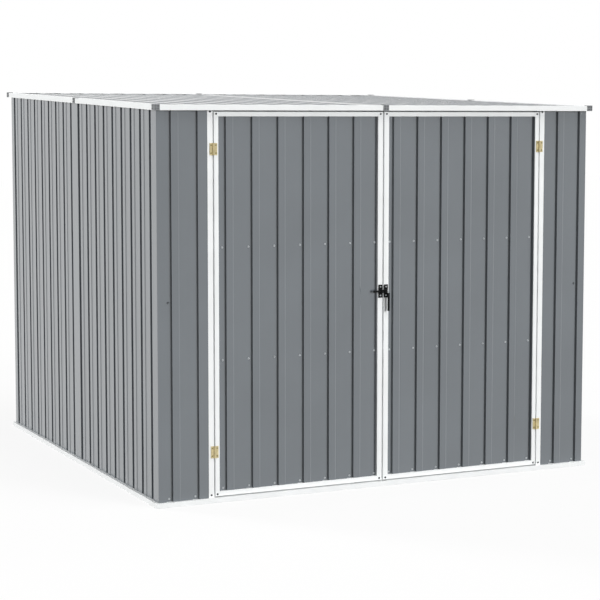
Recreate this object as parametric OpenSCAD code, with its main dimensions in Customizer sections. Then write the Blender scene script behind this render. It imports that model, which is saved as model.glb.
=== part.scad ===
// Metal storage shed: ribbed steel walls, double doors and a roof that rises to the back.
// Origin in the middle of the footprint on the ground. The doors face -Y, +Z is up.

/* [Shell] */
// Width across the outer faces of the side walls
wall_w = 1906; // [1750:1:2200]
// Depth across the outer faces of the front and back walls
wall_d = 1936; // [1750:1:2400]
// Height of the roof sheet's underside at the front wall
front_h = 1504.5; // [1400:0.5:1800]
// Rise of the roof towards the back, in degrees
roof_slope = 2; // [1:0.5:5]

/* [Ribbed sheet] */
// Thickness of the steel sheet
sheet_t = 0.6; // [0.4:0.1:1]
// Spacing of the grooves in the wall and roof sheets
wall_pitch = 106.8; // [100:0.1:130]
// Spacing of the grooves in the door sheets
door_pitch = 108.7; // [100:0.1:130]
// Width of the floor of a groove
groove_floor = 24; // [15:0.5:26]
// Width of each sloping side of a groove
groove_run = 1.5; // [0.5:0.5:4]
// Depth of a groove
groove_depth = 9; // [5:0.5:11]
// Distance from a groove to the low step after it
step_start = 40.5; // [25:0.5:60]
// Height of the low step, from which the sheet lies deeper up to the next groove
step_depth = 2; // [0.8:0.1:3]
// Width of the sloping face of the low step
step_run = 4; // [1.5:0.5:6]
// Flat land kept between a groove and the edge of its sheet
edge_land = 1.5; // [1:0.5:6]
// Distance from a joint between two sheets to the groove beside it
joint_land = 17; // [16.5:0.5:25]
// Distance from the front corner to the first groove of a side wall
side_first = 68; // [40:1:90]
// Distance from the left corner to the first groove of the left front panel
front_left_first = 45.5; // [30:0.5:90]
// Distance from the door post to the first groove of the right front panel
front_right_first = 53.5; // [30:0.5:90]
// Distance from the hinge stile to the first groove of the left door
left_door_first = 19; // [10:0.5:60]
// Distance from the meeting stile to the first groove of the right door
right_door_first = 11; // [10:0.5:60]

/* [Base] */
// Height of the base rail
base_h = 18; // [14:1:30]
// Width of the ledge of the base rail outside the walls
base_ledge = 12; // [8:1:16]
// Width of the base rail inside the walls
base_inner = 18; // [15:1:40]
// Height of the upstand behind the wall sheets
upstand_h = 27; // [20:1:50]
// Thickness of the base rail's steel
base_t = 1.5; // [1:0.1:2.5]

/* [Inner frame] */
// Leg of the angle sections inside the walls
angle_leg = 30; // [25:1:40]
// Thickness of the angle sections
angle_t = 1.5; // [1:0.1:2.5]
// Height of the middle rails of the walls
mid_rail_z = 760; // [600:10:900]
// Width of a roof beam
beam_w = 32; // [25:1:45]
// Number of beams under the roof
beam_count = 3; // [2:1:5]

/* [Doors] */
// Width of each front panel, from the corner to the door post
panel_w = 204.5; // [120:0.5:300]
// Width of a door post
post_w = 22; // [18:1:30]
// Depth of the door posts and of the door frames
frame_depth = 22; // [18:1:25]
// Thickness of the frame tubes
tube_t = 1.5; // [1:0.1:2.5]
// Clearance round each door
door_gap = 5; // [5:0.5:8]
// Gap between the two doors
meeting_gap = 6; // [6:0.5:10]
// Width of a door's stile at the hinges
hinge_stile_w = 18; // [16:1:30]
// Width of a door's stile at the middle
meeting_stile_w = 21.5; // [20:0.5:35]
// Height of a door's top and bottom rails
door_rail_h = 17.5; // [15:0.5:40]
// Set-back of the door sheet behind the door frame's face
door_sheet_set = 4; // [2:0.5:5]
// Height of a brace behind the door sheet
brace_h = 30; // [20:1:50]
// Height of the lower brace above the door's bottom edge
lower_brace_z = 522; // [300:1:600]
// Height of the upper brace above the door's bottom edge
upper_brace_z = 953; // [800:1:1100]

/* [Roof] */
// Overhang of the roof trim in front of the front and back walls
overhang = 20; // [18:1:40]
// Overhang of the roof trim beside the side walls
side_overhang = 14; // [10:1:40]
// Height of the roof trim's face
trim_h = 21; // [18:1:30]
// Thickness of the roof trim
trim_t = 1.5; // [1:0.1:2.5]
// Width of the roof trim's top flange
trim_flange = 18; // [12:1:30]
// Length of a plastic cap along the trim
cap_len = 24; // [18:1:40]
// Thickness of a plastic cap
cap_t = 2; // [1.5:0.1:4]
// Width of the ribs between the sunk panels of a cap
cap_rib = 3; // [2:0.5:4]
// Depth of the sunk panels of a cap
cap_sunk = 1; // [0.5:0.1:1.2]

/* [Hinges] */
// Height of a hinge
hinge_h = 46; // [36:1:60]
// Width of one hinge leaf from the pin
leaf_w = 15.5; // [13:0.5:18]
// Thickness of a hinge leaf
leaf_t = 2; // [1.5:0.1:2.5]
// Radius of a hinge knuckle
knuckle_r = 4; // [3.5:0.1:4.4]
// Radius of a hinge pin
pin_r = 2.2; // [1.8:0.1:2.6]
// Distance of the pin in front of the door's face
pin_out = 4.5; // [4.5:0.1:6]
// Distance of the upper hinge's middle below the door's top
upper_hinge_drop = 140; // [80:1:250]
// Distance of the lower hinge's middle above the door's bottom
lower_hinge_rise = 172; // [80:1:250]

/* [Latch] */
// Height of the latch's middle above the ground
latch_z = 782; // [700:1:900]
// Width of a latch plate
plate_w = 17.5; // [15:0.5:20]
// Height of a latch plate
plate_h = 52; // [40:1:60]
// Thickness of a latch plate
plate_t = 2; // [1.5:0.1:3]
// Inset of a latch plate from the edge of its stile
plate_inset = 0.5; // [0.5:0.5:2]
// Radius of the bolt
bolt_r = 4; // [3:0.5:5]
// Room between the bolt and the keeper
bolt_room = 1.2; // [1:0.1:2]
// Room between the bolt and the guide's strap
guide_room = 0.3; // [0.2:0.1:0.8]
// Inset of a strap from the edge of its plate
strap_inset = 0.5; // [0:0.5:3]
// Width of a strap along the bolt
strap_w = 9; // [6:0.5:10]
// Thickness of a strap
strap_t = 2; // [1.5:0.1:3]
// Length of the bolt
bolt_len = 41.5; // [38:0.5:60]
// Length of the knob at the bolt's end
knob_len = 6; // [4:0.5:10]
// Radius of the knob
knob_r = 5; // [4:0.5:5]
// Width of the pull bar
pull_w = 8; // [6:1:10]
// Thickness of the pull bar
pull_t = 5; // [4:0.5:6]
// How far the pull bar stands past the side of its plate
pull_side = 2; // [0:0.5:4]
// Length of the pull bar below the latch plate
pull_drop = 53; // [30:1:80]

/* [Hidden] */
// Small clearances: seated pieces, pin in its knuckle, knuckle beside knuckle, and trim lengths
seat = 0.3;
pin_clear = 0.1;
knuckle_gap = 0.5;
trim_joint = 1;
// Extra length of a cutting body past what it cuts
past = 5;

sheet_colour = "#7c8185";
white_colour = "#f4f6f6";
steel_colour = "#c8ccce";
brass_colour = "#b4a86a";
black_colour = "#1e1f21";
plastic_colour = "#76787a";

half_w = wall_w / 2;
half_d = wall_d / 2;
front_y = -half_d;
// Full depth of a ribbed sheet, from its flats to the back of its grooves
sheet_depth = groove_depth + sheet_t;
inner_x = half_w - sheet_depth;
inner_y = half_d - sheet_depth;

// How far the inside of a recess is wider than its outside, so that the sheet keeps its thickness
function recess_growth(run, depth) = sheet_t * (norm([run, depth]) - run) / depth;
groove_growth = recess_growth(groove_run, groove_depth);
step_growth = recess_growth(step_run, step_depth);
groove_room = groove_floor / 2 + groove_run + groove_growth + edge_land;
// Distance from the front corner to the joint between the two sheets of a side wall
side_joint = side_first + wall_pitch * round((half_d - side_first) / wall_pitch) + joint_land;

roof_len = wall_d / cos(roof_slope);
side_trim_joint = side_joint / cos(roof_slope);
trim_top = sheet_depth + trim_t;
trim_bottom = trim_top - trim_h;
roof_edge = overhang - trim_t - seat;
// Half width of the roof, counted like the walls' so that the trim overhangs alike on all sides of it
roof_half_w = half_w + side_overhang - overhang;
// Height of the roof sheet's underside at a distance y from the middle
function roof_z(y) = front_h + (y + half_d) * tan(roof_slope);

front_trim_z = front_h - overhang * sin(roof_slope) + trim_bottom * cos(roof_slope);
door_z0 = base_h + door_gap;
door_z1 = front_trim_z - door_gap;
door_h = door_z1 - door_z0;
// Clear width between the door posts
opening_w = wall_w - 2 * (panel_w + post_w);
half_opening = opening_w / 2;
hinge_edge = half_opening - door_gap;
meeting_edge = meeting_gap / 2;
sheet_outer = hinge_edge - hinge_stile_w;
sheet_inner = meeting_edge + meeting_stile_w;
door_sheet_w = sheet_outer - sheet_inner;
door_sheet_y = front_y + door_sheet_set;
frame_back = front_y + frame_depth;

// The header stands behind the closed doors and stops them, and reaches down to the front corner posts
header_y = frame_back + door_gap;
header_top = roof_z(-inner_y) - seat;
back_rail_top = roof_z(inner_y - angle_leg) - seat;
side_rail_start = header_y + angle_t + seat;
side_rail_end = inner_y - angle_leg - seat;
side_rail_foot = roof_z(side_rail_start) - angle_leg * cos(roof_slope) - seat;
header_bottom = min(front_trim_z - door_rail_h, side_rail_foot);
beam_h = angle_leg - angle_t;
upstand_top = base_h + upstand_h;

hinge_x = half_opening - door_gap / 2;
hinge_y = front_y - pin_out;
hinge_heights = [door_z0 + lower_hinge_rise, door_z1 - upper_hinge_drop];
knuckle_h = hinge_h / 3;

plate_x = meeting_edge + plate_inset;
strap_x = plate_x + strap_inset;
bolt_y = front_y - plate_t - bolt_room - bolt_r;
strap_reach = plate_t + 2 * (bolt_r + bolt_room) + strap_t;
pull_x = plate_x + plate_w - pull_w + pull_side;

// Ribbed sheet profile, in its own plane: the outer flats lie at 0 and the grooves sink in

function reversed(points) = [for (i = [len(points) - 1 : -1 : 0]) points[i]];

// The left side of a groove at c, from a flat that lies sunk below the level
function groove_left(c, sunk, level, inside) =
  let (foot = c - groove_floor / 2 - inside * groove_growth)
    [
      [foot - groove_run * (groove_depth - sunk) / groove_depth, level + sunk],
      [foot, level + groove_depth]
    ];

// The right side of a groove at c
function groove_right(c, level, inside) =
  let (foot = c + groove_floor / 2 + inside * groove_growth)
    [
      [foot, level + groove_depth],
      [foot + groove_run, level]
    ];

// The low step between a groove at c and the next one
function low_step(c, level, inside) =
  let (top = c + step_start - inside * step_growth)
    [
      [top, level],
      [top + step_run, level + step_depth]
    ];

// Whether a sheet from a to b has a groove at c; a cut sheet may start or end on a groove's floor
function has_groove(c, a, b, cut) =
  cut
    ? c + groove_floor / 2 > a + edge_land && c - groove_floor / 2 < b - edge_land
    : c - groove_room > a && c + groove_room < b;

// One groove of a sheet, up to its ends, and the low step after it
function groove_line(c, a, b, pitch, level, inside, cut) =
  let (sunk = has_groove(c - pitch, a, b, cut) ? step_depth : 0)
    concat(
      c - groove_room > a ? groove_left(c, sunk, level, inside) : [[a, level + groove_depth]],
      c + groove_room < b ? groove_right(c, level, inside) : [[b, level + groove_depth]],
      has_groove(c + pitch, a, b, cut) ? low_step(c, level, inside) : []
    );

// One face of a sheet from a to b that has a groove at first and others at the pitch from it
function sheet_line(a, b, first, pitch, level, inside, cut) =
  let (
    span = [floor((a - first) / pitch) - 1 : ceil((b - first) / pitch) + 1],
    grooves = [for (i = span) if (has_groove(first + i * pitch, a, b, cut)) first + i * pitch]
  )
    [
      if (grooves[0] - groove_room > a) [a, level],
      for (c = grooves) each groove_line(c, a, b, pitch, level, inside, cut),
      if (grooves[len(grooves) - 1] + groove_room < b) [b, level]
    ];

module sheet_profile(a, b, first, pitch, cut = false) {
  outer = sheet_line(a, b, first, pitch, 0, 0, cut);
  inner = sheet_line(a, b, first, pitch, sheet_t, 1, cut);
  polygon(concat(outer, reversed(inner)));
}

module upright_sheet(a, b, first, pitch, height, cut = false) {
  linear_extrude(height) sheet_profile(a, b, first, pitch, cut);
}

// Frames of reference and shared sections

module flip(right) {
  if (right)
    mirror([1, 0, 0]) children();
  else
    children();
}

// The roof's own frame: x across, y up the slope from the front wall, z out of the roof
module on_roof() {
  translate([0, front_y, front_h]) rotate([roof_slope, 0, 0]) children();
}

// Cuts off what stands above the underside of the roof
module under_roof() {
  difference() {
    children();
    on_roof() translate([-wall_w, -wall_d, -seat]) cube([2 * wall_w, 3 * wall_d, front_h]);
  }
}

// A strip along the front edge of a rectangle, mitred at both ends
module front_strip(hw, y0, out, in) {
  polygon([
    [-hw - out, y0 - out],
    [hw + out, y0 - out],
    [hw + in, y0 - in],
    [-hw - in, y0 - in]
  ]);
}

// A strip along the left edge of a rectangle, mitred at both ends
module left_strip(hw, y0, y1, out, in) {
  polygon([
    [-hw - out, y0 - out],
    [-hw - in, y0 - in],
    [-hw - in, y1 + in],
    [-hw - out, y1 + out]
  ]);
}

module slab(z0, z1) {
  translate([0, 0, z0]) linear_extrude(z1 - z0) children();
}

// A square tube with open ends, along z
module tube(w, d, h) {
  difference() {
    cube([w, d, h]);
    translate([tube_t, tube_t, -past]) cube([w - 2 * tube_t, d - 2 * tube_t, h + 2 * past]);
  }
}

// An angle section along z with its corner at the origin and its legs along x and y
module angle(length, leg_x, leg_y) {
  linear_extrude(length) {
    square([leg_x, angle_t]);
    square([angle_t, leg_y]);
  }
}

// Base: folded rails with a ledge outside the walls and an upstand behind the sheets

module front_rail_body(with_upstand) {
  slab(base_h - base_t, base_h) front_strip(half_w, front_y, base_ledge, -base_inner);
  slab(0, base_h) front_strip(half_w, front_y, base_ledge, base_ledge - base_t);
  slab(0, base_h) front_strip(half_w, front_y, base_t - base_inner, -base_inner);
  if (with_upstand)
    slab(base_h - base_t, upstand_top) front_strip(half_w, front_y, -sheet_depth, -sheet_depth - angle_t);
}

module left_rail_body() {
  slab(base_h - base_t, base_h) left_strip(half_w, -half_d, half_d, base_ledge, -base_inner);
  slab(0, base_h) left_strip(half_w, -half_d, half_d, base_ledge, base_ledge - base_t);
  slab(0, base_h) left_strip(half_w, -half_d, half_d, base_t - base_inner, -base_inner);
  slab(base_h - base_t, upstand_top)
    left_strip(half_w, -half_d, half_d, -sheet_depth, -sheet_depth - angle_t);
}

// The sill's upstand stands only behind the two front panels
module front_sill() {
  color(white_colour)
    difference() {
      front_rail_body(true);
      translate([-half_opening - post_w, -half_d, base_h])
        cube([opening_w + 2 * post_w, half_d, upstand_h + past]);
    }
}

module back_base_rail() {
  color(white_colour) mirror([0, 1, 0]) front_rail_body(true);
}

module left_base_rail() {
  color(white_colour) left_rail_body();
}

module right_base_rail() {
  color(white_colour) mirror([1, 0, 0]) left_rail_body();
}

// Inner frame of steel angles

module corner_posts() {
  color(steel_colour)
    for (right = [false, true])
      flip(right) {
        translate([-inner_x, -inner_y, upstand_top])
          angle(header_bottom - upstand_top, angle_leg, angle_leg);
        translate([-inner_x, inner_y, upstand_top]) mirror([0, 1, 0])
          angle(back_rail_top - angle_leg - upstand_top, angle_leg, angle_leg);
      }
}

module door_post() {
  translate([-half_opening - post_w, front_y, base_h])
    tube(post_w, frame_depth, header_top - angle_t - base_h);
}

module left_door_post() {
  color(white_colour) door_post();
}

module right_door_post() {
  color(white_colour) mirror([1, 0, 0]) door_post();
}

module front_header() {
  color(white_colour) {
    translate([-inner_x, -inner_y, header_top - angle_t])
      cube([2 * inner_x, header_y + angle_t + inner_y, angle_t]);
    translate([-inner_x, header_y, header_bottom])
      cube([2 * inner_x, angle_t, header_top - header_bottom]);
  }
}

module back_top_rail() {
  color(steel_colour) {
    translate([-inner_x, inner_y - angle_leg, back_rail_top - angle_t])
      cube([2 * inner_x, angle_leg, angle_t]);
    translate([-inner_x, inner_y - angle_t, back_rail_top - angle_leg])
      cube([2 * inner_x, angle_t, angle_leg]);
  }
}

// A side rail lies in the slope of the roof, with a ledge that carries the beams
module side_top_rail() {
  start = (side_rail_start - front_y) / cos(roof_slope);
  length = (side_rail_end - side_rail_start) / cos(roof_slope) - seat;
  on_roof() translate([-inner_x, start, -angle_leg]) {
    cube([angle_t, length, angle_leg]);
    cube([angle_leg, length, angle_t]);
  }
}

module left_top_rail() {
  color(steel_colour) side_top_rail();
}

module right_top_rail() {
  color(steel_colour) mirror([1, 0, 0]) side_top_rail();
}

module wall_mid_rails() {
  side_len = 2 * (inner_y - angle_leg);
  back_len = 2 * (inner_x - angle_leg);
  color(steel_colour) {
    for (right = [false, true])
      flip(right)
        translate([-inner_x, side_len / 2, mid_rail_z]) rotate([90, 0, 0])
          angle(side_len, angle_leg / 2, angle_leg);
    translate([-back_len / 2, inner_y, mid_rail_z]) mirror([0, 1, 0]) rotate([90, 0, 90])
      angle(back_len, angle_leg / 2, angle_leg);
  }
}

// Wall sheets

module front_left_panel() {
  color(sheet_colour)
    translate([-half_w, front_y, base_h])
      upright_sheet(0, panel_w, front_left_first, wall_pitch, front_h - seat - base_h);
}

module front_right_panel() {
  color(sheet_colour)
    translate([half_opening + post_w, front_y, base_h])
      upright_sheet(0, panel_w, front_right_first, wall_pitch, front_h - seat - base_h);
}

// A left wall sheet from a to b, counted from the back corner
module side_sheet(a, b) {
  under_roof()
    translate([-half_w, half_d, base_h]) rotate([0, 0, -90])
      upright_sheet(a, b, wall_d - side_first, wall_pitch, roof_z(half_d) - base_h);
}

module side_front_sheet() {
  side_sheet(wall_d - side_joint, wall_d - sheet_t);
}

module side_rear_sheet() {
  side_sheet(sheet_t, wall_d - side_joint);
}

module left_wall_front_sheet() {
  color(sheet_colour) side_front_sheet();
}

module left_wall_rear_sheet() {
  color(sheet_colour) side_rear_sheet();
}

module right_wall_front_sheet() {
  color(sheet_colour) mirror([1, 0, 0]) side_front_sheet();
}

module right_wall_rear_sheet() {
  color(sheet_colour) mirror([1, 0, 0]) side_rear_sheet();
}

// A back wall sheet from a to b, counted from the middle
module back_sheet(a, b) {
  translate([0, half_d, base_h]) rotate([0, 0, 180])
    upright_sheet(a, b, joint_land, wall_pitch, roof_z(half_d - sheet_depth) - seat - base_h);
}

module back_wall_left_sheet() {
  color(sheet_colour) back_sheet(0, half_w);
}

module back_wall_right_sheet() {
  color(sheet_colour) back_sheet(-half_w, 0);
}

// Roof

// A beam is a channel that stands on the ledges of the side rails
module roof_beam() {
  span = 2 * (inner_x - angle_t);
  translate([-span / 2, -beam_w / 2, angle_t - angle_leg])
    difference() {
      cube([span, beam_w, beam_h]);
      translate([-past, angle_t, -past])
        cube([span + 2 * past, beam_w - 2 * angle_t, beam_h - angle_t + past]);
    }
}

module roof_beams() {
  color(steel_colour)
    for (i = [1 : beam_count])
      on_roof() translate([0, roof_len * i / (beam_count + 1), 0]) roof_beam();
}

module roof_sheet(a, b) {
  on_roof() translate([0, roof_len + roof_edge, sheet_depth]) rotate([90, 0, 0])
    linear_extrude(roof_len + 2 * roof_edge) mirror([0, 1, 0])
      sheet_profile(a, b, joint_land, wall_pitch);
}

module roof_sheet_left() {
  color(sheet_colour) roof_sheet(-roof_half_w - roof_edge, 0);
}

module roof_sheet_right() {
  color(sheet_colour) roof_sheet(0, roof_half_w + roof_edge);
}

// The trim is a channel round the roof's edge, in two lengths a side
module front_trim_body() {
  difference() {
    union() {
      slab(sheet_depth, trim_top) front_strip(roof_half_w, 0, overhang, overhang - trim_flange);
      slab(trim_bottom, trim_top) front_strip(roof_half_w, 0, overhang, overhang - trim_t);
      slab(trim_bottom, trim_bottom + trim_t) front_strip(roof_half_w, 0, overhang, 2 * seat);
    }
    translate([-trim_joint / 2, -2 * overhang, trim_bottom - past])
      cube([trim_joint, 4 * overhang, trim_h + 2 * past]);
  }
}

module left_trim_body() {
  lip_in = overhang - side_overhang + 2 * seat;
  difference() {
    union() {
      slab(sheet_depth, trim_top) left_strip(roof_half_w, 0, roof_len, overhang, overhang - trim_flange);
      slab(trim_bottom, trim_top) left_strip(roof_half_w, 0, roof_len, overhang, overhang - trim_t);
      slab(trim_bottom, trim_bottom + trim_t) left_strip(roof_half_w, 0, roof_len, overhang, lip_in);
    }
    translate([-roof_half_w - 2 * overhang, side_trim_joint - trim_joint / 2, trim_bottom - past])
      cube([4 * overhang, trim_joint, trim_h + 2 * past]);
  }
}

// Turns a piece of the front edge of the roof round to the back edge
module at_roof_back() {
  translate([0, roof_len, 0]) mirror([0, 1, 0]) children();
}

module front_roof_trim() {
  color(white_colour) on_roof() front_trim_body();
}

module back_roof_trim() {
  color(white_colour) on_roof() at_roof_back() front_trim_body();
}

module left_roof_trim() {
  color(white_colour) on_roof() left_trim_body();
}

module right_roof_trim() {
  color(white_colour) on_roof() mirror([1, 0, 0]) left_trim_body();
}

// The four sunk panels in the front face of a cap, whose lower left corner is the origin
module cap_panels() {
  panel_len = (cap_len - 3 * cap_rib) / 2;
  panel_h = (trim_h + cap_t - 3 * cap_rib) / 2;
  for (i = [0, 1])
    for (j = [0, 1])
      translate([cap_rib + i * (panel_len + cap_rib), -past, cap_rib + j * (panel_h + cap_rib)])
        cube([panel_len, past + cap_sunk, panel_h]);
}

// A cap wraps the outside and the top of the trim, here at the front left corner
module corner_cap() {
  difference() {
    translate([-roof_half_w - overhang - cap_t, -overhang - cap_t, trim_bottom])
      difference() {
        cube([cap_len, cap_len, trim_h + cap_t]);
        cap_panels();
        mirror([1, -1, 0]) cap_panels();
      }
    translate([-roof_half_w - overhang, -overhang, trim_bottom - past])
      cube([2 * cap_len, 2 * cap_len, trim_h + past]);
  }
}

module roof_corner_caps() {
  color(plastic_colour)
    on_roof()
      for (right = [false, true])
        flip(right) {
          corner_cap();
          at_roof_back() corner_cap();
        }
}

// A cap over a joint of the front trim, centred on the joint
module joint_cap() {
  difference() {
    translate([-cap_len / 2, -overhang - cap_t, trim_bottom])
      difference() {
        cube([cap_len, cap_len, trim_h + cap_t]);
        cap_panels();
      }
    translate([-cap_len, -overhang, trim_bottom - past])
      cube([2 * cap_len, 2 * cap_len, trim_h + past]);
  }
}

module roof_joint_caps() {
  color(plastic_colour)
    on_roof() {
      joint_cap();
      at_roof_back() joint_cap();
      for (right = [false, true])
        flip(right)
          translate([-roof_half_w, side_trim_joint, 0]) rotate([0, 0, -90]) joint_cap();
    }
}

// Hinges, modelled for the left door: the frame leaf lies left of the pin, the door leaf right

module knuckle(z0, z1) {
  translate([0, 0, z0]) cylinder(r = knuckle_r, h = z1 - z0, $fn = 48);
  translate([-knuckle_r - knuckle_gap, pin_out - leaf_t, z0])
    cube([knuckle_r + knuckle_gap, leaf_t, z1 - z0]);
}

module leaf_plate() {
  translate([-leaf_w, pin_out - leaf_t, -hinge_h / 2])
    cube([leaf_w - knuckle_r - knuckle_gap, leaf_t, hinge_h]);
}

module frame_leaf() {
  leaf_plate();
  knuckle(-hinge_h / 2, -knuckle_h / 2 - knuckle_gap);
  knuckle(knuckle_h / 2 + knuckle_gap, hinge_h / 2);
  translate([0, 0, -hinge_h / 2]) cylinder(r = pin_r, h = hinge_h, $fn = 48);
}

module door_leaf() {
  mirror([1, 0, 0])
    difference() {
      union() {
        leaf_plate();
        knuckle(-knuckle_h / 2, knuckle_h / 2);
      }
      translate([0, 0, -hinge_h]) cylinder(r = pin_r + pin_clear, h = 2 * hinge_h, $fn = 48);
    }
}

module at_hinges() {
  for (z = hinge_heights)
    translate([-hinge_x, hinge_y, z]) children();
}

module frame_hinge_leaves() {
  color(brass_colour)
    for (right = [false, true])
      flip(right) at_hinges() frame_leaf();
}

module left_door_hinge_leaves() {
  color(brass_colour) at_hinges() door_leaf();
}

module right_door_hinge_leaves() {
  color(brass_colour) mirror([1, 0, 0]) at_hinges() door_leaf();
}

// Doors, modelled for the left door

module hinge_stile() {
  translate([-hinge_edge, front_y, door_z0]) tube(hinge_stile_w, frame_depth, door_h);
}

module meeting_stile() {
  translate([-sheet_inner, front_y, door_z0]) tube(meeting_stile_w, frame_depth, door_h);
}

module door_rails() {
  for (z = [door_z0, door_z1 - door_rail_h])
    translate([-sheet_outer, front_y, z + door_rail_h]) rotate([0, 90, 0])
      tube(door_rail_h, frame_depth, door_sheet_w);
}

// A brace is a channel between the stiles, behind the grooves of the sheet
module door_braces() {
  brace_y = door_sheet_y + sheet_depth;
  brace_d = frame_back - brace_y;
  for (z = [lower_brace_z, upper_brace_z])
    translate([-sheet_outer, brace_y, door_z0 + z - brace_h / 2])
      difference() {
        cube([door_sheet_w, brace_d, brace_h]);
        translate([-past, angle_t, angle_t])
          cube([door_sheet_w + 2 * past, brace_d, brace_h - 2 * angle_t]);
      }
}

module door_sheet(first) {
  translate([0, door_sheet_y, door_z0 + door_rail_h])
    upright_sheet(0, door_sheet_w, first, door_pitch, door_h - 2 * door_rail_h, true);
}

module left_door_sheet() {
  color(sheet_colour) translate([-sheet_outer, 0, 0]) door_sheet(left_door_first);
}

module left_door_hinge_stile() {
  color(white_colour) hinge_stile();
}

module left_door_meeting_stile() {
  color(white_colour) meeting_stile();
}

module left_door_rails() {
  color(white_colour) door_rails();
}

module left_door_braces() {
  color(steel_colour) door_braces();
}

module right_door_sheet() {
  color(sheet_colour) translate([sheet_inner, 0, 0]) door_sheet(right_door_first);
}

module right_door_hinge_stile() {
  color(white_colour) mirror([1, 0, 0]) hinge_stile();
}

module right_door_meeting_stile() {
  color(white_colour) mirror([1, 0, 0]) meeting_stile();
}

module right_door_rails() {
  color(white_colour) mirror([1, 0, 0]) door_rails();
}

module right_door_braces() {
  color(steel_colour) mirror([1, 0, 0]) door_braces();
}

// Latch: a plate with a bent strap on each door, modelled for the right door

module strap_plate(room) {
  half_slot = bolt_r + room;
  translate([plate_x, front_y - plate_t, latch_z - plate_h / 2]) cube([plate_w, plate_t, plate_h]);
  difference() {
    translate([strap_x, front_y - strap_reach, latch_z - half_slot - strap_t])
      cube([strap_w, strap_reach, 2 * (half_slot + strap_t)]);
    translate([strap_x - past, front_y - strap_reach + strap_t, latch_z - half_slot])
      cube([strap_w + 2 * past, 2 * (bolt_r + bolt_room), 2 * half_slot]);
  }
}

module latch_guide() {
  color(black_colour) mirror([1, 0, 0]) strap_plate(guide_room);
}

// The keeper also carries the bar that the doors are pulled by
module latch_keeper() {
  bar_top = latch_z - bolt_r - bolt_room - strap_t;
  foot_h = bar_top - latch_z + plate_h / 2;
  color(black_colour) {
    strap_plate(bolt_room);
    translate([pull_x, front_y - strap_reach, bar_top - foot_h - pull_drop])
      cube([pull_w, pull_t, foot_h + pull_drop]);
    translate([pull_x, front_y - strap_reach, bar_top - foot_h])
      cube([plate_x + plate_w - pull_x, strap_reach, foot_h]);
  }
}

module latch_bolt() {
  color(black_colour)
    translate([-plate_x, bolt_y, latch_z]) rotate([0, -90, 0]) {
      cylinder(r = bolt_r, h = bolt_len, $fn = 48);
      translate([0, 0, bolt_len - knob_len]) cylinder(r = knob_r, h = knob_len, $fn = 48);
    }
}

front_sill();
back_base_rail();
left_base_rail();
right_base_rail();
corner_posts();
left_door_post();
right_door_post();
front_header();
back_top_rail();
left_top_rail();
right_top_rail();
wall_mid_rails();
front_left_panel();
front_right_panel();
left_wall_front_sheet();
left_wall_rear_sheet();
right_wall_front_sheet();
right_wall_rear_sheet();
back_wall_left_sheet();
back_wall_right_sheet();
roof_beams();
roof_sheet_left();
roof_sheet_right();
front_roof_trim();
back_roof_trim();
left_roof_trim();
right_roof_trim();
roof_corner_caps();
roof_joint_caps();
frame_hinge_leaves();
left_door_sheet();
left_door_hinge_stile();
left_door_meeting_stile();
left_door_rails();
left_door_braces();
left_door_hinge_leaves();
right_door_sheet();
right_door_hinge_stile();
right_door_meeting_stile();
right_door_rails();
right_door_braces();
right_door_hinge_leaves();
latch_guide();
latch_bolt();
latch_keeper();
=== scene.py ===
"""Looks of a metal storage shed with ribbed grey sheets, a white frame and double doors.

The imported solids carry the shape. This script gives each of them its finish and its softened
edges, adds the screws that hold them together, and sets a pale floor, soft light and the camera.
"""

import logging
import math
from abc import ABC, abstractmethod
from dataclasses import dataclass
from enum import Enum
from typing import Any, Iterable

import bmesh
import bpy
from mathutils import Matrix, Vector


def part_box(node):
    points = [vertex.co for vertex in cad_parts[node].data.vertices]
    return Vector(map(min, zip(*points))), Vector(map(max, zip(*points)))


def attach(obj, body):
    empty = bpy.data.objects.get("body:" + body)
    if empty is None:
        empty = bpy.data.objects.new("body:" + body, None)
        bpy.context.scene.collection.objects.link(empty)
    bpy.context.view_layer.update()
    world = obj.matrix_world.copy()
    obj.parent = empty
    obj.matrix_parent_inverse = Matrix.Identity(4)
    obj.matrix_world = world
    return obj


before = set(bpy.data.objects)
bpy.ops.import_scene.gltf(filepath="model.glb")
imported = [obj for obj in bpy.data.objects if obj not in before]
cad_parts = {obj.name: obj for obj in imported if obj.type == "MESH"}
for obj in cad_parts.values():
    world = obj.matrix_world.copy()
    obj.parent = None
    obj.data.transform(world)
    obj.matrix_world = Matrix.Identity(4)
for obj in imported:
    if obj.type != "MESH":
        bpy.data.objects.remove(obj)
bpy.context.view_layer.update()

LOG = logging.getLogger("shed")
MM = 0.001
FRONT = Vector((0, -1, 0))
WHITE = "#ffffff"
Colour = tuple[float, float, float, float]
Stop = tuple[float, Colour]
Node = bpy.types.Node
Socket = bpy.types.NodeSocket
Tree = bpy.types.NodeTree


def linear(hex_colour: str, gain: float = 1.0) -> Colour:
    """Turns an sRGB hex colour into linear light.

    Args:
        hex_colour: the colour as it looks, such as "#7c8185".
        gain: factor on the light, for a paler or darker shade of it.

    Returns:
        Linear red, green and blue, with an alpha of 1.
    """
    shares = [int(hex_colour[i : i + 2], 16) / 255 for i in (1, 3, 5)]
    light = [s / 12.92 if s <= 0.04045 else ((s + 0.055) / 1.055) ** 2.4 for s in shares]
    red, green, blue = (min(1.0, part * gain) for part in light)
    return red, green, blue, 1.0


def per_metre(size_mm: float) -> float:
    """Gives the texture scale whose features are about this many millimetres across."""
    return 1.0 / (size_mm * MM)


def set_inputs(
    tree: Tree, node: Node, settings: dict[str | int, Any], links: dict[str | int, Socket]
) -> None:
    """Sets input values of a node and links others.

    Args:
        tree: the node tree that holds the node.
        node: the node.
        settings: input values, by socket name or number.
        links: output sockets to link to inputs, by socket name or number.
    """
    for key, value in settings.items():
        node.inputs[key].default_value = value
    for key, socket in links.items():
        tree.links.new(socket, node.inputs[key])


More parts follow.
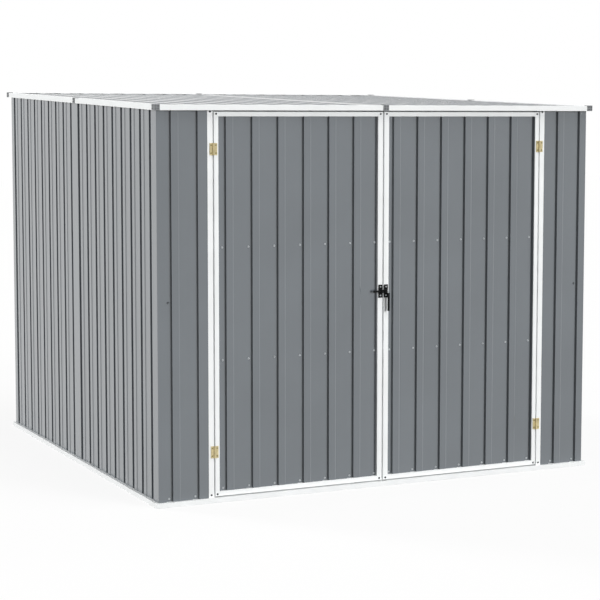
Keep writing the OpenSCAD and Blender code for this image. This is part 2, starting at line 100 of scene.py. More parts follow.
def add_node(
    tree: Tree,
    kind: str,
    settings: dict[str | int, Any] | None = None,
    links: dict[str | int, Socket] | None = None,
    stops: Iterable[Stop] = (),
    **options: Any,
) -> Node:
    """Adds one node with its settings and links.

    Args:
        tree: the node tree that it goes into.
        kind: Blender's name for the node type.
        settings: input values, by socket name or number.
        links: output sockets to link to inputs, by socket name or number.
        stops: places and colours of a colour ramp.
        options: the node's own properties.

    Returns:
        The new node.
    """
    node = tree.nodes.new(kind)
    for name, value in options.items():
        setattr(node, name, value)
    set_inputs(tree, node, settings or {}, links or {})
    for i, (place, colour) in enumerate(stops):
        node.color_ramp.elements[i].position = place
        node.color_ramp.elements[i].color = colour
    return node


@dataclass(frozen=True)
class Finish(ABC):
    """A surface as it was made, with the material that shows it."""

    name: str
    colour: str
    roughness: float

    def material(self) -> bpy.types.Material:
        """Makes the material on first use.

        Returns:
            The material of this finish.
        """
        found = bpy.data.materials.get(self.name)
        if found:
            return found
        material = bpy.data.materials.new(self.name)
        material.use_nodes = True
        material.diffuse_color = linear(self.colour)
        tree = material.node_tree
        tree.nodes.clear()
        shader = add_node(
            tree,
            "ShaderNodeBsdfPrincipled",
            {"Base Color": linear(self.colour), "Roughness": self.roughness},
        )
        add_node(tree, "ShaderNodeOutputMaterial", links={"Surface": shader.outputs[0]})
        place = add_node(tree, "ShaderNodeTexCoord").outputs["Object"]
        self.detail(tree, shader, place)
        return material

    def shades(self, places: tuple[float, float], gains: tuple[float, float]) -> list[Stop]:
        """Gives a colour ramp from a darker to a paler shade of the colour.

        Args:
            places: where on the ramp the two shades lie.
            gains: factors on the light of the two shades.

        Returns:
            Place and linear colour of both stops.
        """
        return [(place, linear(self.colour, gain)) for place, gain in zip(places, gains)]

    @abstractmethod
    def detail(self, tree: Tree, shader: Node, place: Socket) -> None:
        """Adds the finish's own pattern, gloss and relief.

        Args:
            tree: the material's node tree.
            shader: its surface shader.
            place: coordinates on the object, in metres.
        """


# The part of its range from 0 to 1 that a noise texture, or a cell's random tone, mostly covers
NOISE_RANGE = (0.3, 0.7)
CELL_RANGE = (0.15, 0.85)


@dataclass(frozen=True)
class CoilCoatedSheet(Finish):
    """Polyester paint baked on thin steel coil before rolling.

    It gives the eye an even satin grey, a clear top film that turns pale at a low angle, and the
    long soft waves of thin sheet between its folds.
    """

    mottle_mm: float = 260.0
    mottle_spread: float = 0.05
    gloss_spread: float = 0.05
    wave_mm: float = 140.0
    wave_height_mm: float = 0.16
    peel_mm: float = 2.2
    peel_height_mm: float = 0.05
    peel_strength: float = 0.25
    paint_ior: float = 1.33
    film_share: float = 1.0
    film_roughness: float = 0.16
    film_ior: float = 1.75

    def detail(self, tree: Tree, shader: Node, place: Socket) -> None:
        """Adds uneven tone, the film's gloss, sheet waves and fine orange peel.

        Args:
            tree: the material's node tree.
            shader: its surface shader.
            place: coordinates on the object, in metres.
        """
        mottle = add_node(
            tree,
            "ShaderNodeTexNoise",
            {"Scale": per_metre(self.mottle_mm), "Detail": 4.0},
            {"Vector": place},
        )
        tone = add_node(
            tree,
            "ShaderNodeValToRGB",
            links={"Fac": mottle.outputs["Fac"]},
            stops=self.shades(NOISE_RANGE, (1 - self.mottle_spread, 1 + self.mottle_spread)),
        )
        gloss = add_node(
            tree,
            "ShaderNodeMapRange",
            {
                "To Min": self.roughness - self.gloss_spread,
                "To Max": self.roughness + self.gloss_spread,
            },
            {"Value": mottle.outputs["Fac"]},
        )
        wave = add_node(
            tree,
            "ShaderNodeTexNoise",
            {"Scale": per_metre(self.wave_mm), "Detail": 1.0},
            {"Vector": place},
        )
        waves = add_node(
            tree,
            "ShaderNodeBump",
            {"Strength": 1.0, "Distance": self.wave_height_mm * MM},
            {"Height": wave.outputs["Fac"]},
        )
        # Real orange peel is under a millimetre; it is drawn coarser so that it shows at all
        peel = add_node(
            tree,
            "ShaderNodeTexNoise",
            {"Scale": per_metre(self.peel_mm), "Detail": 2.0},
            {"Vector": place},
        )
        relief = add_node(
            tree,
            "ShaderNodeBump",
            {"Strength": self.peel_strength, "Distance": self.peel_height_mm * MM},
            {"Height": peel.outputs["Fac"], "Normal": waves.outputs["Normal"]},
        )
        # The paint meets its film, not air, so its own gloss is weaker than that of bare paint
        set_inputs(
            tree,
            shader,
            {
                "IOR": self.paint_ior,
                "Coat Weight": self.film_share,
                "Coat Roughness": self.film_roughness,
                "Coat IOR": self.film_ior,
            },
            {
                "Base Color": tone.outputs["Color"],
                "Roughness": gloss.outputs["Result"],
                "Normal": relief.outputs["Normal"],
            },
        )


@dataclass(frozen=True)
class PowderCoat(Finish):
    """Powder paint sprayed on steel and melted in an oven.

    It gives the eye a thick even colour with a fine pebbled surface and a soft gloss.
    """

    cloud_mm: float = 90.0
    spread: float = 0.03
    gloss_spread: float = 0.06
    pebble_mm: float = 1.6
    pebble_height_mm: float = 0.06
    pebble_strength: float = 0.4
    mirror: float = 0.5

    def detail(self, tree: Tree, shader: Node, place: Socket) -> None:
        """Adds a slight change of tone and gloss, and the pebbled surface.

        Args:
            tree: the material's node tree.
            shader: its surface shader.
            place: coordinates on the object, in metres.
        """
        cloud = add_node(
            tree,
            "ShaderNodeTexNoise",
            {"Scale": per_metre(self.cloud_mm), "Detail": 3.0},
            {"Vector": place},
        )
        tone = add_node(
            tree,
            "ShaderNodeValToRGB",
            links={"Fac": cloud.outputs["Fac"]},
            stops=self.shades(NOISE_RANGE, (1 - self.spread, 1 + self.spread)),
        )
        gloss = add_node(
            tree,
            "ShaderNodeMapRange",
            {
                "To Min": self.roughness - self.gloss_spread,
                "To Max": self.roughness + self.gloss_spread,
            },
            {"Value": cloud.outputs["Fac"]},
        )
        # The pebbles are drawn at about twice their real width so that they show
        pebble = add_node(
            tree,
            "ShaderNodeTexNoise",
            {"Scale": per_metre(self.pebble_mm), "Detail": 2.0},
            {"Vector": place},
        )
        relief = add_node(
            tree,
            "ShaderNodeBump",
            {"Strength": self.pebble_strength, "Distance": self.pebble_height_mm * MM},
            {"Height": pebble.outputs["Fac"]},
        )
        set_inputs(
            tree,
            shader,
            {"Specular IOR Level": self.mirror},
            {
                "Base Color": tone.outputs["Color"],
                "Roughness": gloss.outputs["Result"],
                "Normal": relief.outputs["Normal"],
            },
        )


@dataclass(frozen=True)
class GalvanisedSteel(Finish):
    """Steel strip dipped in molten zinc.

    It gives the eye a dull silver with patches of crystals, each with its own brightness.
    """

    spangle_mm: float = 9.0
    dark_gain: float = 0.82
    bright_gain: float = 1.12
    gloss_spread: float = 0.1
    crystal_height_mm: float = 0.05
    crystal_strength: float = 0.2

    def detail(self, tree: Tree, shader: Node, place: Socket) -> None:
        """Adds the zinc crystals in tone, gloss and a faint relief.

        Args:
            tree: the material's node tree.
            shader: its surface shader.
            place: coordinates on the object, in metres.
        """
        spangle = add_node(
            tree,
            "ShaderNodeTexVoronoi",
            {"Scale": per_metre(self.spangle_mm)},
            {"Vector": place},
        )
        tone = add_node(
            tree,
            "ShaderNodeValToRGB",
            links={"Fac": spangle.outputs["Color"]},
            stops=self.shades(CELL_RANGE, (self.dark_gain, self.bright_gain)),
        )
        gloss = add_node(
            tree,
            "ShaderNodeMapRange",
            {
                "To Min": self.roughness - self.gloss_spread,
                "To Max": self.roughness + self.gloss_spread,
            },
            {"Value": spangle.outputs["Color"]},
        )
        relief = add_node(
            tree,
            "ShaderNodeBump",
            {"Strength": self.crystal_strength, "Distance": self.crystal_height_mm * MM},
            {"Height": spangle.outputs["Distance"]},
        )
        set_inputs(
            tree,
            shader,
            {"Metallic": 1.0},
            {
                "Base Color": tone.outputs["Color"],
                "Roughness": gloss.outputs["Result"],
                "Normal": relief.outputs["Normal"],
            },
        )


@dataclass(frozen=True)
class PlatedMetal(Finish):
    """Pressed steel, brushed and then plated.

    It gives the eye a clean metal colour with fine upright scratches and a slightly uneven tint.
    """

    tint_mm: float = 14.0
    dark_gain: float = 0.86
    bright_gain: float = 1.1
    scratch_mm: float = 0.8
    scratch_stretch: float = 18.0
    scratch_depth_mm: float = 0.02
    scratch_strength: float = 0.3
    gloss_below: float = 0.08
    gloss_above: float = 0.1

    def detail(self, tree: Tree, shader: Node, place: Socket) -> None:
        """Adds the brush scratches along Z and the uneven tint of the plating.

        Args:
            tree: the material's node tree.
            shader: its surface shader.
            place: coordinates on the object, in metres.
        """
        # Brush scratches are finer than this; they are drawn coarser so that they show
        drawn = add_node(
            tree,
            "ShaderNodeMapping",
            {"Scale": (1.0, 1.0, 1.0 / self.scratch_stretch)},
            {"Vector": place},
        )
        scratch = add_node(
            tree,
            "ShaderNodeTexNoise",
            {"Scale": per_metre(self.scratch_mm), "Detail": 3.0},
            {"Vector": drawn.outputs["Vector"]},
        )
        tint = add_node(
            tree,
            "ShaderNodeTexNoise",
            {"Scale": per_metre(self.tint_mm), "Detail": 2.0},
            {"Vector": place},
        )
        tone = add_node(
            tree,
            "ShaderNodeValToRGB",
            links={"Fac": tint.outputs["Fac"]},
            stops=self.shades(NOISE_RANGE, (self.dark_gain, self.bright_gain)),
        )
        gloss = add_node(
            tree,
            "ShaderNodeMapRange",
            {
                "To Min": self.roughness - self.gloss_below,
                "To Max": self.roughness + self.gloss_above,
            },
            {"Value": scratch.outputs["Fac"]},
        )
        relief = add_node(
            tree,
            "ShaderNodeBump",
            {"Strength": self.scratch_strength, "Distance": self.scratch_depth_mm * MM},
            {"Height": scratch.outputs["Fac"]},
        )
        set_inputs(
            tree,
            shader,
            {"Metallic": 1.0},
            {
                "Base Color": tone.outputs["Color"],
                "Roughness": gloss.outputs["Result"],
                "Normal": relief.outputs["Normal"],
            },
        )


@dataclass(frozen=True)
class MouldedPlastic(Finish):
    """Polypropylene moulded in a spark-eroded steel tool.

    It gives the eye a matt grey with an even fine grain, painted shade in its hollows and painted
    light on its open ridges.
    """

    grain_mm: float = 0.9
    grain_depth_mm: float = 0.05
    grain_strength: float = 0.5
    grain_share: float = 0.04
    # Painted shade darkens the colour where nearby surfaces close a point in within this reach,
    # and painted light pales the open surfaces
    painted_shade_reach_mm: float = 8.0
    painted_shade_samples: int = 8
    painted_shade_range: tuple[float, float] = (0.965, 1.0)
    painted_shade_gain: float = 0.35
    painted_light_gain: float = 1.35
    ior: float = 1.49

    def detail(self, tree: Tree, shader: Node, place: Socket) -> None:
        """Adds the grain of the mould, and a painted shade and painted light that follow how
        closed in each point is.

        Args:
            tree: the material's node tree.
            shader: its surface shader.
            place: coordinates on the object, in metres.
        """
        # The tool's grain is a few tenths of a millimetre; it is drawn coarser so that it shows
        grain = add_node(
            tree,
            "ShaderNodeTexNoise",
            {"Scale": per_metre(self.grain_mm), "Detail": 3.0},
            {"Vector": place},
        )
        # Painted shade and painted light: the colour darkens in hollows and pales on open ridges,
        # by how closed in each point is
        painted_shade_openness = add_node(
            tree,
            "ShaderNodeAmbientOcclusion",
            {"Distance": self.painted_shade_reach_mm * MM},
            samples=self.painted_shade_samples,
        )
        # The mould's grain is mixed into the painted shade, so that the tone is uneven as well
        uneven = add_node(
            tree,
            "ShaderNodeMath",
            {1: self.grain_share},
            {0: grain.outputs["Fac"], 2: painted_shade_openness.outputs["AO"]},
            operation="MULTIPLY_ADD",
        )
        tone = add_node(
            tree,
            "ShaderNodeValToRGB",
            links={"Fac": uneven.outputs[0]},
            stops=self.shades(self.painted_shade_range, (self.painted_shade_gain, self.painted_light_gain)),
        )
        relief = add_node(
            tree,
            "ShaderNodeBump",
            {"Strength": self.grain_strength, "Distance": self.grain_depth_mm * MM},
            {"Height": grain.outputs["Fac"]},
        )
        set_inputs(
            tree,
            shader,
            {"IOR": self.ior},
            {"Base Color": tone.outputs["Color"], "Normal": relief.outputs["Normal"]},
        )


# The satin blue-grey of all ribbed sheets, whose film goes pale on the roof
GREY_SHEET = CoilCoatedSheet("coil_coated_polyester_grey", "#646a6f", 0.36)
# The clean bright white of rails, posts, door frames and roof trim
WHITE_STEEL = PowderCoat("powder_coated_steel_white", "#f6f8f8", 0.42)
# The deep black of the latch, with hardly any mirror in it
BLACK_STEEL = PowderCoat("powder_coated_steel_black", "#0f1011", 0.5, spread=0.15, mirror=0.15)
# The patchy dull silver of the inner frame
ZINC_STRIP = GalvanisedSteel("hot_dip_galvanised_strip", "#b4b9bc", 0.46)
# The pale yellow of the hinges, and browner screws that stand out on them
BRASS = PlatedMetal("brass_plated_pressed_steel", "#d4c69c", 0.38)
BRASS_SCREW = PlatedMetal("tarnished_brass_screw", "#968d66", 0.42)
# Bright dots on the grey sheets, faint ones beside the corners and dark ones on the white frame
ZINC_SCREW = PlatedMetal("zinc_plated_screw_steel", "#c6cacc", 0.4)
DULL_SCREW = PlatedMetal("weathered_zinc_screw_steel", "#64686b", 0.48)
BLACK_SCREW = PlatedMetal("blackened_screw_steel", "#3a3c3f", 0.44)
# The matt grey ends and joints of the white trim, with painted shade in their recesses and
# painted light on their ridges
CAP_PLASTIC = MouldedPlastic("moulded_polypropylene_grey", "#7c7e80", 0.5)

# Corners that the solids' meshes hold more than once are welded, so that edges can be rounded
WELD_MM = 0.001
EDGE_SEGMENTS = 2
EDGE_ANGLE_DEG = 30.0


def coat(names: Iterable[str], finish: Finish, edge_mm: float = 0.0) -> None:
    """Gives solids their finish and rounds their edges.

    Args:
        names: the nodes to coat.
        finish: what they are coated with.
        edge_mm: width of the rounding, or 0 to leave the edges as they are.
    """
    for name in names:
        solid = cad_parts[name]
        solid.data.materials.clear()
        solid.data.materials.append(finish.material())
        if edge_mm:
            weld = solid.modifiers.new("weld", "WELD")
            weld.merge_threshold = WELD_MM * MM
            bevel = solid.modifiers.new("edge", "BEVEL")
            bevel.width = edge_mm * MM
            bevel.segments = EDGE_SEGMENTS
            bevel.limit_method = "ANGLE"
            bevel.angle_limit = math.radians(EDGE_ANGLE_DEG)


def groove_row(sheet: str, first_mm: float, pitch_mm: float) -> list[float]:
    """Works out where the grooves of a front or door sheet lie.

    Args:
        sheet: the sheet's node.
        first_mm: distance from its left edge to the middle of its first groove.
        pitch_mm: spacing of its grooves.

    Returns:
        The X of each groove's middle, from left to right, in metres.
    """
    low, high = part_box(sheet)
    count = int(((high.x - low.x) / MM - first_mm) // pitch_mm) + 1
    return [low.x + (first_mm + i * pitch_mm) * MM for i in range(count)]


def turn(body: bmesh.types.BMesh, profile: list[tuple[float, float]], sides: int) -> None:
    """Adds a turned body, spun round the Z axis.

    Args:
        body: the mesh that it is added to.
        profile: radius and height of each ring, from the foot to the top.
        sides: number of sides of each ring.
    """
    rings = []
    for radius, height in profile:
        count = sides if radius > 0 else 1
        angles = [2 * math.pi * i / count for i in range(count)]
        places = [(radius * math.cos(a), radius * math.sin(a), height) for a in angles]
        rings.append([body.verts.new(place) for place in places])
    for low, high in zip(rings, rings[1:]):
        for i in range(sides):
            j = (i + 1) % sides
            foot = [low[i % len(low)], low[j % len(low)]]
            top = [high[j % len(high)], high[i % len(high)]]
            body.faces.new(list(dict.fromkeys(foot + top)))


class Head(Enum):
    """Kinds of screw head on the shed."""

    HEX_WASHER = "hexagon head with a sealing washer"
    PAN = "pan head with a cross recess"


ROUND_SIDES = 20
HEX_SIDES = 6
# Hexagon head, as shares of its height, its radius or its washer's radius
SEAL_HEIGHT = 0.3
SEAL_SLOPE = 0.85
NECK_RADIUS = 0.8
SHOULDER_HEIGHT = 0.85
CHAMFER_RADIUS = 0.86
# Pan head and its cross recess, as shares of its height or its radius
EDGE_HEIGHT = 0.25
ARM_LENGTH = 0.62
ARM_HALF_WIDTH = 0.13
RECESS_FLOOR = 0.45
DOME_DEG = (0, 20, 40, 60, 75)
# No two neighbours were driven to the same angle
DRIVE_DEG = 137.5


@dataclass(frozen=True)
class Screw:
    """One kind of screw, drawn once and set wherever it is used."""

    head: Head
    finish: Finish
    slot: str
    width_mm: float
    height_mm: float
    washer_mm: float = 0.0

    def drawn(self) -> bpy.types.Mesh:
        """Draws the head, with its seat at the origin and its top along Z.

        Returns:
            A new mesh in metres.
        """
        radius = self.width_mm * MM / 2
        top = self.height_mm * MM
        body = bmesh.new()
        if self.head is Head.HEX_WASHER:
            rim, seal = self.washer_mm * MM / 2, SEAL_HEIGHT * top
            slope, neck = SEAL_SLOPE * rim, NECK_RADIUS * radius
            shoulder, chamfer = SHOULDER_HEIGHT * top, CHAMFER_RADIUS * radius
            washer = [(0, 0), (rim, 0), (rim, seal / 2), (slope, seal), (neck, seal)]
            nut = [(0, seal), (radius, seal), (radius, shoulder), (chamfer, top), (0, top)]
            turn(body, washer, ROUND_SIDES)
            turn(body, nut, HEX_SIDES)
        else:
            edge = EDGE_HEIGHT * top
            arc = [math.radians(a) for a in DOME_DEG]
            dome = [(radius * math.cos(a), edge + (top - edge) * math.sin(a)) for a in arc]
            turn(body, [(0, 0), (radius, 0), *dome, (0, top)], ROUND_SIDES)
        bmesh.ops.recalc_face_normals(body, faces=body.faces)
        mesh = bpy.data.meshes.new("screw_head")
        body.to_mesh(mesh)
        body.free()
        return self.recessed(mesh, radius, top) if self.head is Head.PAN else mesh

    def recessed(self, blank: bpy.types.Mesh, radius: float, top: float) -> bpy.types.Mesh:
        """Cuts the cross recess into the top of a head.

        Args:
            blank: the head without its recess.
            radius: radius of the head.
            top: height of the head.

        Returns:
            The cut mesh, in place of the blank.
        """
        arm, half, floor = ARM_LENGTH * radius, ARM_HALF_WIDTH * radius, RECESS_FLOOR * top
        quarter = [Vector(p) for p in ((half, half), (half, arm), (-half, arm))]
        turns = [Matrix.Rotation(i * math.pi / 2, 2) for i in range(4)]
        outline = [quarter_turn @ p for quarter_turn in turns for p in quarter]
        cross = bmesh.new()
        face = cross.faces.new([cross.verts.new((p.x, p.y, floor)) for p in outline])
        raised = bmesh.ops.extrude_face_region(cross, geom=[face])["geom"]
        upper = [v for v in raised if isinstance(v, bmesh.types.BMVert)]
        bmesh.ops.translate(cross, verts=upper, vec=(0, 0, top))
        bmesh.ops.recalc_face_normals(cross, faces=cross.faces)
        tool_mesh = bpy.data.meshes.new("cross_recess")
        cross.to_mesh(tool_mesh)
        cross.free()
        head = bpy.data.objects.new("screw_blank", blank)
        tool = bpy.data.objects.new("cross_tool", tool_mesh)
        for part in (head, tool):
            bpy.context.collection.objects.link(part)
        cut = head.modifiers.new("recess", "BOOLEAN")
        cut.operation = "DIFFERENCE"
        cut.object = tool
        ready = head.evaluated_get(bpy.context.evaluated_depsgraph_get())
        result = bpy.data.meshes.new_from_object(ready)
        for part, used in ((head, blank), (tool, tool_mesh)):
            bpy.data.objects.remove(part)
            bpy.data.meshes.remove(used)
        return result

    def set_in(self, name: str, body: str, places: list[Vector], out: Vector) -> bpy.types.Object:
        """Sets a row of these screws as one piece on a body.

        Args:
            name: name of the piece.
            body: the body that it moves with.
            places: where each head sits.
            out: direction in which the heads point.

        Returns:
            The new piece.
        """
        head = self.drawn()
        row = bmesh.new()
        facing = out.to_track_quat("Z", "Y").to_matrix().to_4x4()
        for i, place in enumerate(places):
            first = len(row.verts)
            row.from_mesh(head)
            row.verts.ensure_lookup_table()
            driven = Matrix.Rotation(math.radians(DRIVE_DEG) * i, 4, "Z")
            seat = Matrix.Translation(place) @ facing @ driven
            bmesh.ops.transform(row, matrix=seat, verts=row.verts[first:])
        mesh = bpy.data.meshes.new(name)
        row.to_mesh(mesh)
        row.free()
        bpy.data.meshes.remove(head)
        mesh.materials.append(self.finish.material())
        piece = bpy.data.objects.new(name, mesh)
        bpy.context.collection.objects.link(piece)
        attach(piece, body)
        return piece


SHEET_SCREW = Screw(Head.HEX_WASHER, ZINC_SCREW, "galvanised_steel", 5.5, 3.5, 8.5)
POST_SCREW = Screw(Head.HEX_WASHER, DULL_SCREW, "galvanised_steel", 5.5, 3.5, 8.5)
FRAME_SCREW = Screw(Head.PAN, BLACK_SCREW, "black_steel", 7.5, 2.6)
HINGE_SCREW = Screw(Head.PAN, BRASS_SCREW, "brass", 6.0, 1.6)
LATCH_SCREW = Screw(Head.PAN, ZINC_SCREW, "galvanised_steel", 6.5, 2.2)


class SubAssembly(ABC):
    """A group of solids that are finished and fitted together."""

    @abstractmethod
    def dress(self) -> None:
        """Gives the solids their finishes."""

    def build(self) -> list[bpy.types.Object]:
        """Adds the fittings that the solids leave out."""
        return []


@dataclass
class Base(SubAssembly):
    """The white rails on the ground and the frame of zinc angles that stands on them."""

    fold_mm: float = 0.6

    def dress(self) -> None:
        """Coats the rails white and leaves the inner frame in zinc."""
        rails = ("front_sill", "back_base_rail", "left_base_rail", "right_base_rail")
        top_rails = ("back_top_rail", "left_top_rail", "right_top_rail")
        coat(rails, WHITE_STEEL, self.fold_mm)
        coat(("corner_posts", "wall_mid_rails", *top_rails), ZINC_STRIP, self.fold_mm)


@dataclass
class Walls(SubAssembly):
    """The ribbed wall sheets, and the white posts and header round the doorway."""

    groove_pitch_mm: float = 106.8
    groove_depth_mm: float = 9.0
    left_first_mm: float = 45.5
    right_first_mm: float = 53.5
    screw_rise_mm: float = 11.0
    post_foot_screw_mm: float = 11.0
    post_top_screw_mm: float = 4.4
    tube_edge_mm: float = 0.7

    def dress(self) -> None:
        """Coats the sheets grey, and the posts and the header white."""
        ends = ("front", "rear")
        sides = [f"{side}_wall_{end}_sheet" for side in ("left", "right") for end in ends]
        backs = [f"back_wall_{side}_sheet" for side in ("left", "right")]
        coat([*sides, *backs, "front_left_panel", "front_right_panel"], GREY_SHEET)
        doorway = ("left_door_post", "right_door_post", "front_header")
        coat(doorway, WHITE_STEEL, self.tube_edge_mm)

    def build(self) -> list[bpy.types.Object]:
        """Sets the screws of the front panels and at the ends of the door posts.

        Returns:
            The screw rows.
        """
        feet, outer = [], []
        middle = sum(corner.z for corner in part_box("wall_mid_rails")) / 2
        for name, first_mm, outermost in (
            ("front_left_panel", self.left_first_mm, 0),
            ("front_right_panel", self.right_first_mm, -1),
        ):
            row = groove_row(name, first_mm, self.groove_pitch_mm)
            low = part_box(name)[0]
            floor = low.y + self.groove_depth_mm * MM
            feet += [Vector((x, floor, low.z + self.screw_rise_mm * MM)) for x in row]
            outer.append(Vector((row[outermost], floor, middle)))
        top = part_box("front_roof_trim")[0].z - self.post_top_screw_mm * MM
        posts = []
        for name in ("left_door_post", "right_door_post"):
            low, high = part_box(name)
            foot = low.z + self.post_foot_screw_mm * MM
            posts += [Vector(((low.x + high.x) / 2, low.y, z)) for z in (foot, top)]
        return [
            SHEET_SCREW.set_in("front_panel_screws", "shell", feet, FRONT),
            POST_SCREW.set_in("corner_post_screws", "shell", outer, FRONT),
            FRAME_SCREW.set_in("door_post_screws", "shell", posts, FRONT),
        ]


@dataclass
class Roof(SubAssembly):
    """The ribbed roof sheets on their beams, the white trim round them and its plastic caps."""

    fold_mm: float = 0.6
    cap_edge_mm: float = 0.4

    def dress(self) -> None:
        """Coats sheets, trim, beams and caps."""
        trim = [f"{side}_roof_trim" for side in ("front", "back", "left", "right")]
        coat(("roof_sheet_left", "roof_sheet_right"), GREY_SHEET)
        coat(trim, WHITE_STEEL, self.fold_mm)
        coat(("roof_beams",), ZINC_STRIP, self.fold_mm)
        coat(("roof_corner_caps", "roof_joint_caps"), CAP_PLASTIC, self.cap_edge_mm)


class Side(Enum):
    """The two doors, as one faces them."""

    LEFT = "left"
    RIGHT = "right"


@dataclass
class Door(SubAssembly):
    """One door: a white tube frame, a ribbed sheet and two zinc braces behind it."""

    side: Side
    groove_first_mm: float
    groove_pitch_mm: float = 108.7
    groove_depth_mm: float = 9.0
    screw_rise_mm: float = 9.5
    brace_height_mm: float = 30.0
    corner_screw_mm: float = 7.5
    tube_edge_mm: float = 0.7

    @property
    def body(self) -> str:
        """The body that this door's pieces move with."""
        return f"{self.side.value}_door"

    def dress(self) -> None:
        """Coats the sheet grey and the frame white, and leaves the braces in zinc."""
        tubes = [f"{self.body}_{part}" for part in ("hinge_stile", "meeting_stile", "rails")]
        coat((f"{self.body}_sheet",), GREY_SHEET)
        coat(tubes, WHITE_STEEL, self.tube_edge_mm)
        coat((f"{self.body}_braces",), ZINC_STRIP, self.tube_edge_mm)

    def build(self) -> list[bpy.types.Object]:
        """Sets the screws that hold the sheet to its braces and rail, and the frame's corners.

        Returns:
            The screw rows.
        """
        sheet = f"{self.body}_sheet"
        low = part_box(sheet)[0]
        brace_low, brace_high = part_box(f"{self.body}_braces")
        half_brace = self.brace_height_mm * MM / 2
        foot = low.z + self.screw_rise_mm * MM
        heights = [foot, brace_low.z + half_brace, brace_high.z - half_brace]
        floor = low.y + self.groove_depth_mm * MM
        columns = groove_row(sheet, self.groove_first_mm, self.groove_pitch_mm)
        places = [Vector((x, floor, z)) for z in heights for x in columns]
        corners = []
        inset = self.corner_screw_mm * MM
        for stile in ("hinge_stile", "meeting_stile"):
            low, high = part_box(f"{self.body}_{stile}")
            middle = (low.x + high.x) / 2
            corners += [Vector((middle, low.y, z)) for z in (low.z + inset, high.z - inset)]
        return [
            SHEET_SCREW.set_in(f"{self.body}_sheet_screws", self.body, places, FRONT),
            FRAME_SCREW.set_in(f"{self.body}_corner_screws", self.body, corners, FRONT),
        ]


@dataclass
class Hinges(SubAssembly):
    """The brass hinges: a leaf on the post and a leaf on the door, round one pin."""

    height_mm: float = 46.0
    leaf_mm: float = 15.5
    knuckle_mm: float = 4.5
    leaf_face_mm: float = 2.0
    screw_spread_mm: float = 15.0
    edge_mm: float = 0.3

    def dress(self) -> None:
        """Coats all leaves with brass."""
        doors = [f"{side.value}_door_hinge_leaves" for side in Side]
        coat(("frame_hinge_leaves", *doors), BRASS, self.edge_mm)

    def build(self) -> list[bpy.types.Object]:
        """Sets two screws in each leaf.

        Returns:
            The screws of each door's leaves and of the post leaves beside them.
        """
        pieces = []
        from_pin = (self.leaf_mm + self.knuckle_mm) / 2 * MM
        half = self.height_mm * MM / 2
        spread = self.screw_spread_mm * MM
        for side, outward in ((Side.LEFT, -1), (Side.RIGHT, 1)):
            name = side.value
            low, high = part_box(f"{name}_door_hinge_leaves")
            face = high.y - self.leaf_face_mm * MM
            middles = (low.z + half, high.z - half)
            heights = [middle + shift for middle in middles for shift in (-spread, spread)]
            leaf_end = high.x if side is Side.LEFT else low.x
            pin = leaf_end + outward * self.leaf_mm * MM
            for leaf, body, x in (
                ("door", f"{name}_door", pin - outward * from_pin),
                ("post", "shell", pin + outward * from_pin),
            ):
                places = [Vector((x, face, z)) for z in heights]
                screws = f"{name}_{leaf}_hinge_screws"
                pieces.append(HINGE_SCREW.set_in(screws, body, places, FRONT))
        return pieces


@dataclass
class Latch(SubAssembly):
    """The black latch: a guide with its sliding bolt, and a keeper with the pull bar."""

    plate_mm: float = 17.5
    plate_face_mm: float = 2.0
    screw_spread_mm: float = 17.0
    edge_mm: float = 0.4

    def dress(self) -> None:
        """Coats guide, bolt and keeper black."""
        coat(("latch_guide", "latch_bolt", "latch_keeper"), BLACK_STEEL, self.edge_mm)

    def build(self) -> list[bpy.types.Object]:
        """Sets two screws in each plate.

        Returns:
            The screws of the guide and of the keeper.
        """
        middle = sum(corner.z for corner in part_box("latch_bolt")) / 2
        spread = self.screw_spread_mm * MM
        half = self.plate_mm * MM / 2
        pieces = []
        for node, body in (("latch_guide", "left_door"), ("latch_keeper", "right_door")):
            low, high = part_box(node)
            x = high.x - half if body == "left_door" else low.x + half
            face = high.y - self.plate_face_mm * MM
            places = [Vector((x, face, middle + shift)) for shift in (-spread, spread)]
            pieces.append(LATCH_SCREW.set_in(f"{node}_screws", body, places, FRONT))
        return pieces


@dataclass(frozen=True)
class Lamp:
    """A far soft lamp that lights every part of the shed alike.

    Its bearing counts from the front towards the right, and its height is the angle above the
    ground. Its spread is how wide it looks, which softens its shadows, and its level is the light
    on a surface that faces it.
    """

    name: str
    bearing_deg: float
    height_deg: float
    spread_deg: float
    level: float

    def hang(self) -> None:
        """Adds the lamp to the scene."""
        light = bpy.data.lights.new(self.name, "SUN")
        light.energy = self.level
        light.angle = math.radians(self.spread_deg)
        lamp = bpy.data.objects.new(self.name, light)
        tilt = math.radians(90.0 - self.height_deg)
        lamp.rotation_euler = (tilt, 0.0, math.radians(self.bearing_deg))
        # The gloss mirrors the white surround, so that no lamp burns a white patch into the roof
        lamp.visible_glossy = False
        bpy.context.collection.objects.link(lamp)


# The left lamp lights the left wall at a slant from behind, so that the grooves there stay dark
LAMPS = (
    Lamp("top_lamp", 30.0, 62.0, 40.0, 1.5),
    Lamp("key_lamp", 32.0, 9.0, 16.0, 2.35),
    Lamp("right_lamp", 102.0, 10.0, 14.0, 0.9),
    Lamp("left_lamp", -145.0, 12.0, 16.0, 3.0),
    Lamp("side_lamp", -97.0, 10.0, 14.0, 0.75),
)


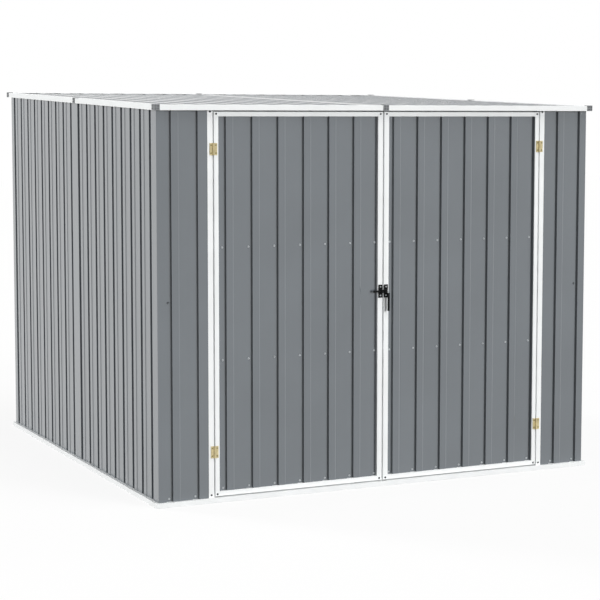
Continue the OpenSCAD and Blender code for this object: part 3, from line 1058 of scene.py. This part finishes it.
@dataclass
class Studio:
    """A pale floor, a white surround, soft lamps and the camera."""

    floor_span: float = 60.0
    floor_colour: str = "#f8f8f7"
    floor_bounce: str = "#606060"
    floor_share: float = 0.87
    ambient: float = 0.2
    eye: tuple[float, float, float] = (-3.1939, -6.9794, 1.4660)
    yaw_deg: float = 25.209
    pitch_deg: float = 5.146
    lens_mm: float = 103.368
    shift: float = -0.045

    def seen_share(self, tree: Tree) -> Socket:
        """Tells rays that show the background from rays that light the object.

        Args:
            tree: the node tree that asks.

        Returns:
            A socket that is 1 for camera, glossy and transmission rays and 0 for the rest.
        """
        path = add_node(tree, "ShaderNodeLightPath")
        seen = path.outputs["Is Camera Ray"]
        for kind in ("Is Glossy Ray", "Is Transmission Ray"):
            either = add_node(
                tree,
                "ShaderNodeMath",
                links={0: seen, 1: path.outputs[kind]},
                operation="MAXIMUM",
            )
            seen = either.outputs[0]
        return seen

    def surround(self) -> None:
        """Sets a world that looks white and lights the shed more weakly than that."""
        world = bpy.data.worlds.new("white_surround")
        bpy.context.scene.world = world
        world.use_nodes = True
        tree = world.node_tree
        tree.nodes.clear()
        strength = add_node(
            tree,
            "ShaderNodeMapRange",
            {"To Min": self.ambient, "To Max": 1.0},
            {"Value": self.seen_share(tree)},
        )
        sky = add_node(
            tree,
            "ShaderNodeBackground",
            {"Color": linear(WHITE)},
            {"Strength": strength.outputs["Result"]},
        )
        add_node(tree, "ShaderNodeOutputWorld", links={"Surface": sky.outputs[0]})

    def floor_paint(self) -> bpy.types.Material:
        """Makes the floor's material, which looks white but keeps the object's shadow.

        Returns:
            The material.
        """
        material = bpy.data.materials.new("painted_studio_floor")
        material.use_nodes = True
        tree = material.node_tree
        tree.nodes.clear()
        seen = self.seen_share(tree)
        tone = add_node(
            tree,
            "ShaderNodeValToRGB",
            links={"Fac": seen},
            stops=((0.0, linear(self.floor_bounce)), (1.0, linear(self.floor_colour))),
        )
        paint = add_node(tree, "ShaderNodeBsdfDiffuse", links={"Color": tone.outputs["Color"]})
        white = add_node(tree, "ShaderNodeEmission", {"Color": linear(WHITE), "Strength": 1.0})
        share = add_node(
            tree, "ShaderNodeMath", {1: self.floor_share}, {0: seen}, operation="MULTIPLY"
        )
        both = add_node(
            tree,
            "ShaderNodeMixShader",
            links={0: share.outputs[0], 1: paint.outputs[0], 2: white.outputs[0]},
        )
        add_node(tree, "ShaderNodeOutputMaterial", links={"Surface": both.outputs[0]})
        return material

    def floor(self) -> None:
        """Lays the floor."""
        half = self.floor_span / 2
        corners = [(-half, -half, 0), (half, -half, 0), (half, half, 0), (-half, half, 0)]
        mesh = bpy.data.meshes.new("studio_floor")
        mesh.from_pydata(corners, [], [(0, 1, 2, 3)])
        mesh.materials.append(self.floor_paint())
        piece = bpy.data.objects.new("studio_floor", mesh)
        bpy.context.collection.objects.link(piece)

    def camera(self) -> None:
        """Sets the camera at the photograph's viewing angle."""
        data = bpy.data.cameras.new("eye")
        data.lens = self.lens_mm
        data.shift_y = self.shift
        camera = bpy.data.objects.new("eye", data)
        camera.location = self.eye
        tilt = math.radians(90.0 - self.pitch_deg)
        camera.rotation_euler = (tilt, 0.0, math.radians(-self.yaw_deg))
        bpy.context.collection.objects.link(camera)
        bpy.context.scene.camera = camera

    def build(self) -> None:
        """Sets up everything round the shed."""
        bpy.context.scene.view_settings.view_transform = "Standard"
        self.surround()
        self.floor()
        for lamp in LAMPS:
            lamp.hang()
        self.camera()


def main() -> None:
    """Builds and dresses the shed group by group, then the studio."""
    logging.basicConfig(level=logging.INFO, format="%(message)s")
    doors = (Door(Side.LEFT, groove_first_mm=19.0), Door(Side.RIGHT, groove_first_mm=11.0))
    for group in (Base(), Walls(), Roof(), *doors, Hinges(), Latch()):
        group.dress()
        for piece in group.build():
            LOG.info("%s: %d faces", piece.name, len(piece.data.polygons))
    Studio().build()


if __name__ == "__main__":
    main()
